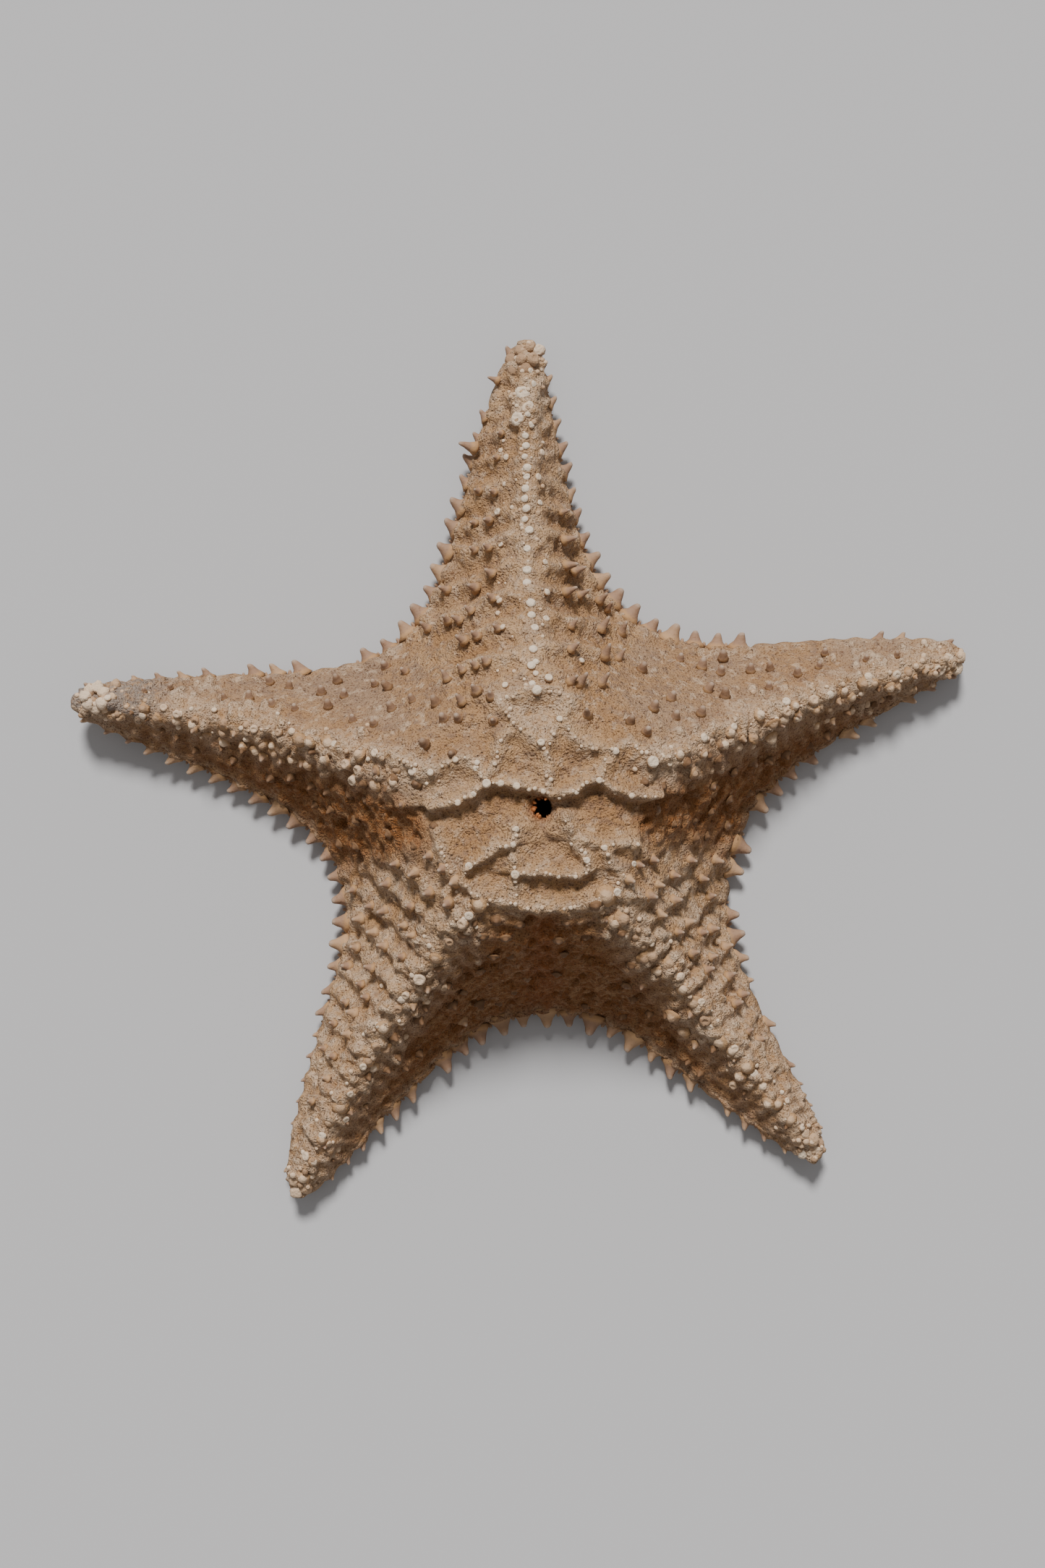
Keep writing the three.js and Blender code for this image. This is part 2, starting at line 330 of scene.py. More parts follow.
def beside(line, x, y):
    """Distance from a line of points, and whether a place is on its lower side."""
    nearest = np.full(len(x), 1e9)
    lower = np.zeros(len(x), bool)
    for (x0, y0), (x1, y1) in zip(line, line[1:]):
        run_x, run_y = x1 - x0, y1 - y0
        share = ((x - x0) * run_x + (y - y0) * run_y) / (run_x**2 + run_y**2)
        share = np.clip(share, 0, 1)
        gap = np.hypot(x - x0 - share * run_x, y - y0 - share * run_y)
        closer = gap < nearest
        nearest = np.where(closer, gap, nearest)
        lower = np.where(closer, (y - y0 - share * run_y) < 0, lower)
    return nearest, lower


# ---- Skin ----------------------------------------------------------------------------
# The whole hide of the animal: tanned skin dried hard over chalky plates, in one closed
# shell of back, rim and mouth side. A sheet is trimmed to the star, given thickness and
# a hole, then raised to the CAD body's height and worked over for ribs and hollows.

SHEET_STEP = 0.97
SHEET_HALF = 118
SHEET_THICK = 3
HOLE = 1.8
HOLE_AT = (0.0, 0.7)
THROAT = 10
RIM_INSET = 0.9
KNUCKLES = [  # x, y, width, height
    (4.9, -1.2, 1.7, 1.3), (1.6, -4.6, 1.5, 1.1), (6.6, -4.2, 1.4, 1.0), (-2.6, -3.4, 1.2, 0.8),
]


def form_to_mesh(form, name):
    mesh = bpy.data.meshes.new(name)
    form.to_mesh(mesh)
    form.free()
    return mesh


def finder(places):
    """A finder of the nearest of some plan places."""
    tree = KDTree(len(places))
    for i, (px, py) in enumerate(places):
        tree.insert((px, py, 0), i)
    tree.balance()
    return tree


def nearest_of(places, x, y):
    """Which of some plan places is nearest to each point, and how near it is."""
    tree = finder(places)
    found = [tree.find((px, py, 0)) for px, py in zip(x, y)]
    return np.array([hit[1] for hit in found]), np.array([hit[2] for hit in found])


skin_form = bmesh.new()
cells = round(2 * SHEET_HALF / SHEET_STEP)
bmesh.ops.create_grid(skin_form, x_segments=cells, y_segments=cells, size=SHEET_HALF)
middles = np.array([face.calc_center_median()[:2] for face in skin_form.faces])
here = where(middles[:, 0], middles[:, 1])
in_hole = np.hypot(*(middles - HOLE_AT).T) < HOLE
waste = (here["radius"] > here["rim"] - RIM_INSET * 0.6) | in_hole
waste_faces = [face for face, wasted in zip(skin_form.faces, waste) if wasted]
bmesh.ops.delete(skin_form, geom=waste_faces, context="FACES")

inset_rim = np.stack([rim_x, rim_y], 1) - RIM_INSET * rim_outward
rim_finder = finder(inset_rim)
edge = [vert for vert in skin_form.verts if vert.is_boundary]
hole_middle = Vector((*HOLE_AT, 0))
for vert in edge:
    if vert.co.length < THROAT:
        vert.co = hole_middle + (vert.co - hole_middle).normalized() * HOLE
    else:
        vert.co = rim_finder.find(vert.co)[0]
inner = {face_vert for vert in edge for face in vert.link_faces for face_vert in face.verts}
inner = list(inner - set(edge))
for _ in range(3):
    bmesh.ops.smooth_vert(skin_form, verts=inner, factor=0.5, use_axis_x=True, use_axis_y=True)

raised = bmesh.ops.extrude_face_region(skin_form, geom=skin_form.faces[:])["geom"]
raised = [part for part in raised if isinstance(part, bmesh.types.BMVert)]
bmesh.ops.translate(skin_form, verts=raised, vec=(0, 0, SHEET_THICK))
upright = [e for e in skin_form.edges if abs(e.verts[0].co.z - e.verts[1].co.z) > 1]
bmesh.ops.subdivide_edges(skin_form, edges=upright, cuts=2, use_grid_fill=True)
upper = [e for e in skin_form.edges if min(vert.co.z for vert in e.verts) > SHEET_THICK - 0.1]
bmesh.ops.subdivide_edges(skin_form, edges=upper, cuts=1, use_grid_fill=True)
bmesh.ops.recalc_face_normals(skin_form, faces=skin_form.faces)
skin_mesh = form_to_mesh(skin_form, "skin")


def read(source, field):
    """A mesh's points or normals as rows of three."""
    values = np.zeros(len(source) * 3)
    source.foreach_get(field, values)
    return values.reshape(-1, 3)


def roughness_of(points, size, seed):
    """Smooth noise between about -1 and 1, with lumps of a size in millimetres."""
    shift = Vector((seed * 17.3, seed * 5.1, seed * 9.7))
    return np.array([noise.noise(Vector(point) / size + shift) for point in points])


def pebbles(points, size, seed):
    """Round-topped lumps packed side by side, 1 on their tops and 0 between."""
    shift = Vector((seed * 3.1, seed * 7.9, seed * 1.7))
    gaps = [noise.voronoi(Vector(point) / size + shift)[0][0] for point in points]
    return np.clip(1 - np.array(gaps) ** 2 * 2.2, 0, 1)


def wave(run, pitch):
    """1 on each rib and 0 between the ribs."""
    return 0.5 + 0.5 * np.cos(2 * math.pi * run / pitch)


points = read(skin_mesh.vertices, "co")
x, y, layer = points.T.copy()
here = where(x, y)
back = layer > SHEET_THICK - 0.1
sole = layer < 0.1
throat = (here["radius"] < THROAT) & ~back & ~sole
rim_band = ~back & ~sole & ~throat
lift = lift_at(here["arm"], here["radius"])
depth = depth_inside(x, y)
nearest_rim = nearest_of(inset_rim, x, y)[0]
nearest_tooth = spine_phase[nearest_rim].astype(int) % SPINE_COUNT
tooth_size = np.array([tooth["size"] for tooth in teeth])[nearest_tooth]
beat = -np.cos(2 * math.pi * spine_phase[nearest_rim]) * tooth_size

# Plain shape first: the back, the swollen rim, the sole with its grooves and mouth.
MOUTH_DEPTH = 7
THROAT_HEIGHT = 33
UPPER_RIM, LOWER_RIM = 3.5, 1.4


def groove_half(arm, along):
    """Half the width of the groove under an arm."""
    return 1.1 + 2.1 * ramp(REACH[arm] - along, 0, 80)


height = np.where(back, back_height(x, y), 0.0)
outward = rim_outward[nearest_rim]
upper_band = layer > SHEET_THICK / 2
swell = np.where(rim_band, np.where(upper_band, 1.0, 0.55), 0) * (1.05 + 0.85 * beat)
height = np.where(rim_band, np.where(upper_band, UPPER_RIM, LOWER_RIM), height)
height = np.where(throat, MOUTH_DEPTH + layer / SHEET_THICK * THROAT_HEIGHT, height)
along, off, radius = here["along"], here["off"], here["radius"]
across = off + crest_aside(here["arm"], radius)
ends = ramp(REACH[here["arm"]] - along, 4, 14)
groove_width = groove_half(here["arm"], along)
groove = groove_width * 1.5 * np.exp(-((across / groove_width) ** 2) * 1.4) * ends
mouth = MOUTH_DEPTH * (1 - ramp(radius, 2, 7.5))
seams = np.zeros(len(x))
seams[sole] = (1 - pebbles(points[sole], 4.1, 21)) ** 1.4
seams *= ramp(depth, 0.5, 3) * ramp(np.abs(across) - groove_width, 0, 1.5) * ramp(radius, 7, 10)
sole_height = np.maximum(groove, mouth) + 1.0 * seams
height = np.where(sole, sole_height, height)
points[:, 0] = x + outward[:, 0] * swell
points[:, 1] = y + outward[:, 1] * swell
points[:, 2] = height + lift
skin_mesh.vertices.foreach_set("co", points.ravel())
skin_mesh.update()
facing = read(skin_mesh.vertex_normals, "vector")

# From here on only the back is worked over. First comes how far each place of it belongs
# to each kind of flank, or to a crest.
top = np.flatnonzero(back)
tx, ty, places = x[top], y[top], points[top]
arm_at, along, off, radius, inward = (
    values[top] for values in (here["arm"], along, off, radius, depth)
)
shares = np.exp(-7 * here["asides"][top])
shares /= shares.sum(1)[:, None]
lateral = radius[:, None] * np.sin(np.radians(here["turns"][top])) - CREST_ASIDE
leaning = 0.5 + 0.5 * np.tanh(lateral / 1.6)
sides = {}
for kind in (RIBBED, KNOTTED, WALL):
    plus, minus = (
        np.array([FLANKS[(arm, side)] == kind for arm in range(5)], float) for side in (1, -1)
    )
    sides[kind] = (shares * (plus * leaning + minus * (1 - leaning))).sum(1)
hub = 1 - ramp(radius, 24, 34)
steep = 1 - ramp(facing[top, 2], 0.6, 0.93)
in_bay = ramp(here["aside"][top], 0.7, 0.98)
ribbed = sides[RIBBED] * (1 - hub) * (1 - in_bay)
knotted = sides[KNOTTED] * (1 - hub)
wall = sides[WALL] * steep * (0.3 + 0.7 * ramp(np.abs(off), 4, 11))
crest = np.exp(-((off / 3.3) ** 2)) * ramp(along, 22, 34)

# Lumps, stones, fibres and pits of several sizes that the forms are made of.
wobble = roughness_of(places, 9, 1)
fine_lumps = roughness_of(places, 2.4, 2)
coarse_lumps = roughness_of(places, 5.5, 3)
creases = 1 - np.abs(roughness_of(places, 3.6, 12)) * 3
stones = pebbles(places, 3.1, 4)
small_stones = pebbles(places, 1.35, 8)
rim_turn = 2 * math.pi * nearest_rim / OUTLINE_POINTS
fibre_x = rim_length / math.tau * np.cos(rim_turn)
fibre_y = rim_length / math.tau * np.sin(rim_turn)
fibre_line = np.stack([fibre_x / 3.5, fibre_y / 3.5, depth], 1)[top]
fibres = roughness_of(fibre_line, 1.5, 5)
pits = ramp(roughness_of(places, 3.3, 6), 0.18, 0.5)

rib_run = along + RIB_RAKE * np.abs(off) + 0.9 * wobble
ribs = wave(rib_run - FIRST_RIB, RIB_PITCH) ** 1.4
knot_run = along - FIRST_RIB + 1.6 * wobble + 0.9 * coarse_lumps
knot_ribs = wave(knot_run, KNOT_PITCH) ** 1.2 * (0.75 + 0.5 * coarse_lumps)
rib_zone = ribbed * ramp(np.abs(off), 1.5, 5) * ramp(inward, 1, 4)

ridge_gap = np.full(len(top), 99.0)
for line in RIDGES:
    ridge_gap = np.minimum(ridge_gap, beside(line, tx, ty)[0])
rope = np.exp(-((ridge_gap / 1.3) ** 2))
sag = (1 - np.exp(-((ridge_gap / 3.4) ** 2))) * hub
slump = np.zeros(len(top))
for line, drop in LEDGES:
    gap, lower = beside(line, tx, ty)
    slump += np.where(lower, drop * ramp(gap, 0.1, 1.8) * np.exp(-gap / 4.2), 0)

cone_gap = nearest_of([(place["x"], place["y"]) for place in cone_places], tx, ty)[1]
mound = np.exp(-((cone_gap / 1.9) ** 2))
wart_found, wart_gap = nearest_of([wart[:2] for wart in warts], tx, ty)
wart_wide, wart_high = np.array(warts)[wart_found].T[2:]
wart_top = np.exp(-((wart_gap / wart_wide) ** 4))

crust = ramp(coarse_lumps + 0.5 * fine_lumps + 1.2 * np.exp(-((off / 5.0) ** 2)), 0.55, 1.0)
crust *= ramp(along, 16, 30) * (1 - 0.8 * wall)
crust *= np.where(arm_at == TOP, 0.3 + 0.6 * ramp(along, 82, 98), 0.7)
folds = wave(along + 1.2 * wobble, FOLD_PITCH)
under_crest = wall * np.exp(-(((np.abs(off) - 5) / 3.2) ** 2)) * (1 - in_bay)
rough_side = np.clip(ribbed + knotted + wall, 0, 1)
rope_zone = rope * ramp(44 - radius, 0, 10)
raise_by = crest * (0.4 + 0.6 * stones + 0.2 * small_stones) + wart_high * wart_top
raise_by += rib_zone * (1.8 * ribs - 0.8) * (1 - 0.45 * ramp(along, 50, 85))
raise_by += 0.25 * rib_zone * small_stones
raise_by += knotted * ramp(inward, 1, 4) * (1.35 * knot_ribs - 0.5)
raise_by += rope_zone * (0.95 + 0.45 * small_stones) - 1.7 * sag - slump
raise_by += (0.3 + 0.5 * ribbed + 0.7 * knotted + 0.4 * wall) * mound
raise_by += knotted * (0.5 * stones - 0.2) * ramp(inward, 1, 4)
raise_by += wall * (0.9 * fibres - 1.1 * pits * ramp(inward, 2, 6))
raise_by += under_crest * (1.5 * folds - 0.5)
for knuckle_x, knuckle_y, wide, high in KNUCKLES:
    raise_by += high * np.exp(-(((tx - knuckle_x) ** 2 + (ty - knuckle_y) ** 2) / wide**2))
raise_by += 0.36 * fine_lumps + 0.16 * small_stones + coarse_lumps * (0.3 + 0.35 * rough_side)
raise_by += (0.14 + 0.2 * hub + 0.38 * rough_side) * np.clip(creases, -0.5, 1)
edge_fade = np.exp(-(((inward - 1.6) / 2.2) ** 2))
raise_by += 0.55 * edge_fade * beat[top]
arm_end = ramp(along, REACH[arm_at] - 14, REACH[arm_at] - 4)
raise_by += arm_end * (0.7 * stones - 0.2)
hole_gap = np.hypot(tx - HOLE_AT[0], ty - HOLE_AT[1]) - HOLE
raise_by -= 1.1 * np.exp(-((hole_gap / 1.3) ** 2))
points[top] += facing[top] * raise_by[:, None]

side_lumps = roughness_of(points[rim_band], 2.2, 7)
points[rim_band] += facing[rim_band] * (0.25 * side_lumps)[:, None]
under = np.flatnonzero(sole)
points[under, 2] += 0.18 * (1 + roughness_of(points[under], 2.6, 9))
points[:, 2] = np.maximum(points[:, 2], 0.0)
skin_mesh.vertices.foreach_set("co", points.ravel())


def mark(mesh, name, values):
    attribute = mesh.attributes.new(name, "FLOAT", "POINT")
    attribute.data.foreach_set("value", np.asarray(values, np.float32))


def spread_over(indices, values):
    """Values for some of the skin's points, and nothing elsewhere."""
    whole = np.zeros(len(points))
    whole[indices] = values
    return whole


in_triangle = ramp(ty - 12 - 1.25 * np.abs(tx + 0.6), 0, 3) * ramp(ty, 28, 26)
wart_cap = np.exp(-((wart_gap / (0.85 * wart_wide)) ** 4))
crest_pale = crest * (0.15 + 0.5 * stones) + 0.8 * rope_zone * (0.4 + 0.6 * small_stones)
pale = np.maximum.reduce([
    np.clip(crest_pale, 0, 1),
    0.7 * crust,
    (0.35 + 0.5 * ramp(wart_high, 0.6, 1.1)) * wart_cap,
    0.55 * in_triangle,
    arm_end * (0.4 + 0.6 * stones),
    0.4 * rib_zone * ribs * small_stones,
    0.6 * under_crest * folds,
    0.65 * knotted * stones,
    0.4 * ramp(inward, 3, 0.8) * small_stones,
])
mark(skin_mesh, "chalk", spread_over(top, pale))
# The walls face away from the light: their bark-brown is partly the skin's own darker colour and
# partly painted shade.
mark(skin_mesh, "wall", spread_over(top, wall))
# Painted shade: bark-brown darkening below the ledges, in the sagging cells, in the ribs' valleys,
# the creases, the wall's pits and the gaps between the crests' warts.
painted_hollow_shade = 0.2 * slump + 0.3 * sag + wall * pits + 0.3 * rib_zone * (1 - ribs) ** 3
painted_hollow_shade = np.clip(painted_hollow_shade + 0.12 * rough_side * ramp(creases, 0.3, -0.4), 0, 1)
gaps = np.exp(-((off / 6.5) ** 2)) * ramp(along, 28, 40) * (arm_at != TOP)
painted_hollow_shade = np.clip(painted_hollow_shade + 0.34 * gaps * (1 - wart_top), 0, 1)
# Painted shade on the sole: its grooves, seams and mouth are darkened, and keep less of the plaster
# colour.
sunk = sole * np.clip(0.9 * seams + groove / 4 + mouth / 6, 0, 1)
mark(skin_mesh, "painted_hollow_shade", spread_over(top, painted_hollow_shade) + sunk)
# Painted shade: patchy dusky darkening round the feet of the cones, less on the ribs.
mark(skin_mesh, "mound", spread_over(top, mound * (1 - 0.7 * ribbed)))
leftward = 0.55 - 0.45 * np.cos(np.arctan2(ty - HOLE_AT[1], tx - HOLE_AT[0]) - math.radians(30))
rusty_and_bay_shade = np.exp(-((hole_gap / 1.2) ** 2)) * leftward
# Painted shade: the bottom bay's wall is tinted a deeper rust-orange, the warm tone of its deep
# shade. Round the hole and in the throat the rust is the torn skin's own colour.
rusty_and_bay_shade = np.maximum(rusty_and_bay_shade, 0.35 * wall * in_bay * (ty < -20) * ramp(np.abs(tx), 34, 14))
mark(skin_mesh, "rust_and_painted_bay_shade", spread_over(top, rusty_and_bay_shade) + throat)
left_end = (arm_at == LEFT) * ramp(along, 88, 104)
mark(skin_mesh, "slate", spread_over(top, left_end * (off < 2)))
# Painted shade: the smooth flanks, and the left arm's upper flank, are darkened towards dusky
# grey-brown.
shaded = ramp(along, 20, 50) * (arm_at == LEFT) * ramp(off, -3, -10)
smooth_side = (1 - rough_side) * (1 - hub) * (1 - crest)
shaded = np.maximum(shaded, 0.85 * smooth_side * (arm_at != TOP))
mark(skin_mesh, "painted_flank_shade", spread_over(top, shaded))
mark(skin_mesh, "under", sole * (1 - 0.8 * sunk) + 0.6 * rim_band * (layer < 1.5))
mark(skin_mesh, "fibre_x", fibre_x)
mark(skin_mesh, "fibre_y", fibre_y)
mark(skin_mesh, "fibre_drop", depth * 4)


class Wire:
    """A shader socket that can be used in sums; each sum adds a Math node."""

    def __init__(self, finish, socket):
        self.finish = finish
        self.socket = socket

    def sum(self, operation, first, second):
        return self.finish.node("ShaderNodeMath", {"operation": operation}, {0: first, 1: second})

    def __add__(self, other):
        return self.sum("ADD", self, other)

    def __sub__(self, other):
        return self.sum("SUBTRACT", self, other)

    def __rsub__(self, other):
        return self.sum("SUBTRACT", other, self)

    def __mul__(self, other):
        return self.sum("MULTIPLY", self, other)

    __radd__ = __add__
    __rmul__ = __mul__


class Finish:
    """One material. node() adds any node and gives back its output as a Wire."""

    def __init__(self, name):
        self.material = bpy.data.materials.new(name)
        self.material.use_nodes = True
        self.tree = self.material.node_tree
        self.tree.nodes.clear()
        self.place = self.node("ShaderNodeTexCoord", {}, {}, "Object")

    def node(self, kind, settings, inputs, output=0):
        made = self.tree.nodes.new(kind)
        for key, value in settings.items():
            setattr(made, key, value)
        for key, value in inputs.items():
            if isinstance(value, Wire):
                self.tree.links.new(value.socket, made.inputs[key])
            else:
                made.inputs[key].default_value = value
        return Wire(self, made.outputs[output])

    def mix(self, share, first, second):
        """A colour between two colours."""
        settings = {"data_type": "RGBA", "clamp_factor": True}
        return self.node("ShaderNodeMix", settings, {0: share, 6: first, 7: second}, 2)

    def coats(self, base, *coats):
        """A colour with others laid over it, each with the share that it covers."""
        for share, over in coats:
            base = self.mix(share, base, over)
        return base

    def step(self, value, low, high):
        """0 where value is below low, 1 above high."""
        settings = {"interpolation_type": "SMOOTHSTEP"}
        inputs = {"Value": value, "From Min": low, "From Max": high}
        return self.node("ShaderNodeMapRange", settings, inputs)

    def mottle(self, size, detail=2.0, place=None):
        """Noise from 0 to 1 with patches of a size in millimetres."""
        inputs = {"Vector": place or self.place, "Scale": 1 / (size * MM), "Detail": detail}
        return self.node("ShaderNodeTexNoise", {}, inputs)

    def grains(self, size):
        """Distance from the middles of packed grains of a size in millimetres."""
        inputs = {"Vector": self.place, "Scale": 1 / (size * MM)}
        return self.node("ShaderNodeTexVoronoi", {}, inputs, "Distance")

    def mark(self, name):
        """A value that the mesh carries."""
        return self.node("ShaderNodeAttribute", {"attribute_name": name}, {}, "Fac")

    def bumped(self, height, distance, strength=1.0):
        inputs = {"Height": height, "Distance": distance * MM, "Strength": strength}
        return self.node("ShaderNodeBump", {}, inputs, "Normal")

    def close(self, **sockets):
        """The shader itself; its sockets are named with _ for each space."""
        inputs = {key.replace("_", " "): value for key, value in sockets.items()}
        shader = self.node("ShaderNodeBsdfPrincipled", {}, inputs)
        output = self.tree.nodes.new("ShaderNodeOutputMaterial")
        self.tree.links.new(shader.socket, output.inputs["Surface"])
        return self.material


TAN = (0.365, 0.211, 0.104, 1)
SAND = (0.46, 0.295, 0.17, 1)
UMBER = (0.10, 0.035, 0.011, 1)
BARK = (0.23, 0.088, 0.025, 1)
CHALK = (0.58, 0.44, 0.325, 1)
DUSK = (0.22, 0.15, 0.115, 1)
RUST = (0.24, 0.06, 0.012, 1)
SLATE = (0.20, 0.175, 0.17, 1)
PLASTER = (0.48, 0.36, 0.235, 1)

hide = Finish("dried_skin")
patches = hide.mottle(14)
freckles = hide.mottle(1.5, 4)
pores = hide.mottle(0.42, 3)
grit = hide.grains(0.8)
pocks = hide.step(hide.grains(1.1), 0.3, 0.0) * hide.step(freckles, 0.35, 0.6)
colour = hide.coats(
    hide.mix(hide.step(patches, 0.35, 0.65), TAN, SAND),
    # painted shade round the cones' feet
    (hide.mark("mound") * hide.step(freckles, 0.3, 0.7) * 0.4, DUSK),
    (hide.step(hide.mottle(5, 3), 0.5, 0.66) * 0.35, DUSK),
    (hide.step(freckles, 0.5, 0.66) * 0.6, DUSK),
    # painted shade on the flanks
    (hide.mark("painted_flank_shade") * (0.25 + 0.35 * hide.step(patches, 0.4, 0.6)), DUSK),
    (hide.step(hide.mottle(2.6, 4), 0.53, 0.68) * 0.55, CHALK),
    # partly the walls' own brown, partly painted shade
    (hide.mark("wall") * (0.45 + 0.55 * hide.step(freckles, 0.3, 0.65)), BARK),
    # painted shade in the hollows
    (hide.mark("painted_hollow_shade") * 0.55, BARK),
    (hide.mark("chalk") * hide.step(freckles, 0.25, 0.6), CHALK),
    (hide.mark("under") * 0.75, PLASTER),
    (hide.mark("slate") * hide.step(freckles, 0.25, 0.55) * 0.75, SLATE),
    # rust of the torn skin, and painted shade in the bottom bay
    (hide.mark("rust_and_painted_bay_shade"), RUST),
    (hide.step(pores, 0.53, 0.68) * 0.7, UMBER),
    (pocks * (1 - hide.mark("chalk")) * 0.5, BARK),
)
fibre_place = hide.node(
    "ShaderNodeCombineXYZ",
    {},
    {"X": hide.mark("fibre_x"), "Y": hide.mark("fibre_y"), "Z": hide.mark("fibre_drop")},
)
threads = hide.mottle(2500, 3, fibre_place)
relief = 0.9 * pores + 0.5 * freckles - 0.5 * grit - 0.7 * pocks + hide.mark("wall") * 1.3 * threads
skin_finish = hide.close(
    Base_Color=colour,
    Roughness=0.78 + 0.2 * patches,
    Normal=hide.bumped(relief, 0.95, 1.0),
    Specular_IOR_Level=0.25,
)


def place_in_scene(name, content):
    """A new object in the scene, at the origin."""
    thing = bpy.data.objects.new(name, content)
    bpy.context.scene.collection.objects.link(thing)
    return thing


def settle(mesh, name, finish):
    """Sets a mesh in millimetres about the disc's axis in its place, in metres."""
    mesh.transform(Matrix.Scale(MM, 4) @ Matrix.Translation(DISC))
    mesh.shade_smooth()
    mesh.materials.append(finish)
    piece = place_in_scene(name, mesh)
    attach(piece, "root")
    return piece


skin_tree_form = bmesh.new()
skin_tree_form.from_mesh(skin_mesh)
skin_tree = BVHTree.FromBMesh(skin_tree_form)
skin_tree_form.free()
skin = settle(skin_mesh, "skin", skin_finish)
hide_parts("starfish")


# ---- Rim spines ----------------------------------------------------------------------
# Stout blunt thorns of chalk under thin skin, one on each plate of the rim, with a
# smaller one under it. They swell from the rim and hook a little towards the arm's end.

# A stud's outline from its tip to its foot: how wide and how high it is at each ring.
THORN = [
    (0, 1), (0.36, 0.95), (0.54, 0.82), (0.72, 0.6), (0.96, 0.36), (1.4, 0.12), (1.95, -0.15),
    (0, -0.4),
]
UPPER_ROW, LOWER_ROW = 3.6, 1.8
LOWEST = 0.08
UP = Vector((0, 0, 1))


class Studs:
    """A stock of small upstanding things that are made together as one piece."""

    def __init__(self, rings, sides):
        self.rings = rings
        self.sides = sides
        self.stock = []

    def add(self, shape, foot, axis, radius, height, tone, bend=Vector()):
        """A stud with its outline, foot, axis, size, tone, and how far its tip bends."""
        self.stock.append((shape, foot, axis.normalized(), bend, radius, height, tone))

    def balls(self, name):
        """A mesh of as many unit balls as the stock, one after another."""
        form = bmesh.new()
        bmesh.ops.create_uvsphere(form, u_segments=self.sides, v_segments=self.rings, radius=1)
        one = place_in_scene(name, form_to_mesh(form, name))
        row = one.modifiers.new("row", "ARRAY")
        row.count = len(self.stock)
        row.use_relative_offset = False
        ready = one.evaluated_get(bpy.context.evaluated_depsgraph_get())
        mesh = bpy.data.meshes.new_from_object(ready)
        bpy.data.objects.remove(one)
        return mesh

    def mesh(self, name, uneven=0.07):
        """The stock as one mesh: each ball's rings are drawn out to its stud's outline."""
        mesh = self.balls(name)
        count = len(self.stock)
        ball = read(mesh.vertices, "co").reshape(count, -1, 3)
        columns = [np.array(column, float) for column in zip(*self.stock)]
        shapes = columns[0]
        foot, axis, bend, radius, height, tone = (column[:, None] for column in columns[1:])
        level = np.arccos(np.clip(ball[:, :, 2], -1, 1)) / math.pi * self.rings
        level = np.rint(level).astype(int)
        wide, tall = (np.take_along_axis(shapes[:, :, i], level, 1) for i in (0, 1))
        chance = np.random.default_rng(count)
        wide = wide * radius * (1 + chance.uniform(-uneven, uneven, wide.shape))
        around = np.arctan2(ball[:, :, 1], ball[:, :, 0]) + chance.uniform(0, math.tau, (count, 1))
        side = np.cross(axis, np.where(np.abs(axis[..., :1]) < 0.9, [1.0, 0, 0], [0, 1.0, 0]))
        side /= np.linalg.norm(side, axis=2)[..., None]
        reach = side * np.cos(around)[..., None] + np.cross(axis, side) * np.sin(around)[..., None]
        upward = np.maximum(tall, 0)
        at = foot + axis * (tall * height)[..., None] + reach * wide[..., None]
        at = at + bend * upward[..., None] ** 2
        at[..., 2] = np.maximum(at[..., 2], LOWEST)
        mesh.vertices.foreach_set("co", at.ravel())
        mark(mesh, "tip", upward.ravel())
        mark(mesh, "tone", np.broadcast_to(tone, tall.shape).ravel())
        return mesh


dice = random.Random(31)
rim_studs = Studs(7, 8)
for tooth in teeth:
    index, arm, radius, size = tooth["index"], tooth["arm"], tooth["radius"], tooth["size"]
    outward = Vector((*rim_outward[index], 0))
    endward = Vector((*rim_tangent[index], 0))
    if endward.dot(Vector((rim_x[index], rim_y[index], 0))) < 0:
        endward = -endward
    lifted = float(lift_at(arm, radius))
    foot = Vector((rim_x[index], rim_y[index], UPPER_ROW + lifted)) - outward * 0.4
    slant = 0.3 * float(ramp(radius, 52, 75))
    axis = outward + UP * (0.22 + dice.uniform(-0.1, 0.15))
    axis += endward * (slant + dice.uniform(-0.16, 0.16))
    bend = endward * 0.9 * size * slant / 0.3 + UP * 0.4 * size
    if size > 0.35:
        rim_studs.add(THORN, foot, axis, 1.72 * size, 3.9 * size, dice.random(), bend)
    between = (index + round(OUTLINE_POINTS / SPINE_COUNT / 2)) % OUTLINE_POINTS
    outward = Vector((*rim_outward[between], 0))
    foot = Vector((rim_x[between], rim_y[between], LOWER_ROW + lifted)) - outward
    rim_studs.add(THORN, foot, outward + UP * 0.1, 0.75 * size, 1.9 * size, dice.random())

MAUVE = (0.27, 0.165, 0.11, 1)
ASH = (0.35, 0.27, 0.22, 1)
COCOA = (0.15, 0.078, 0.038, 1)

horn = Finish("spine_skin")
tip_mark = horn.mark("tip")
tone = horn.mark("tone")
flecks = horn.mottle(0.8, 3)
colour = horn.coats(
    horn.mix(horn.step(tip_mark + 0.3 * flecks, 0.2, 0.5), TAN, MAUVE),
    (horn.step(tone, 0.5, 0.9) * 0.5, SAND),
    (horn.step(tip_mark + 0.35 * flecks, 0.85, 1.2) * 0.8, ASH),
    (horn.step(flecks, 0.6, 0.75) * 0.35, UMBER),
    # low tones turn cocoa: the darker smooth-flank cones, and painted shade on the wall cones
    (horn.step(tone, 0.0, -0.4) * 0.9, COCOA),
)
spine_finish = horn.close(
    Base_Color=colour,
    Roughness=0.62 + 0.25 * flecks,
    Normal=horn.bumped(flecks + 0.5 * horn.mottle(0.35), 0.2, 0.6),
    Specular_IOR_Level=0.3,
)
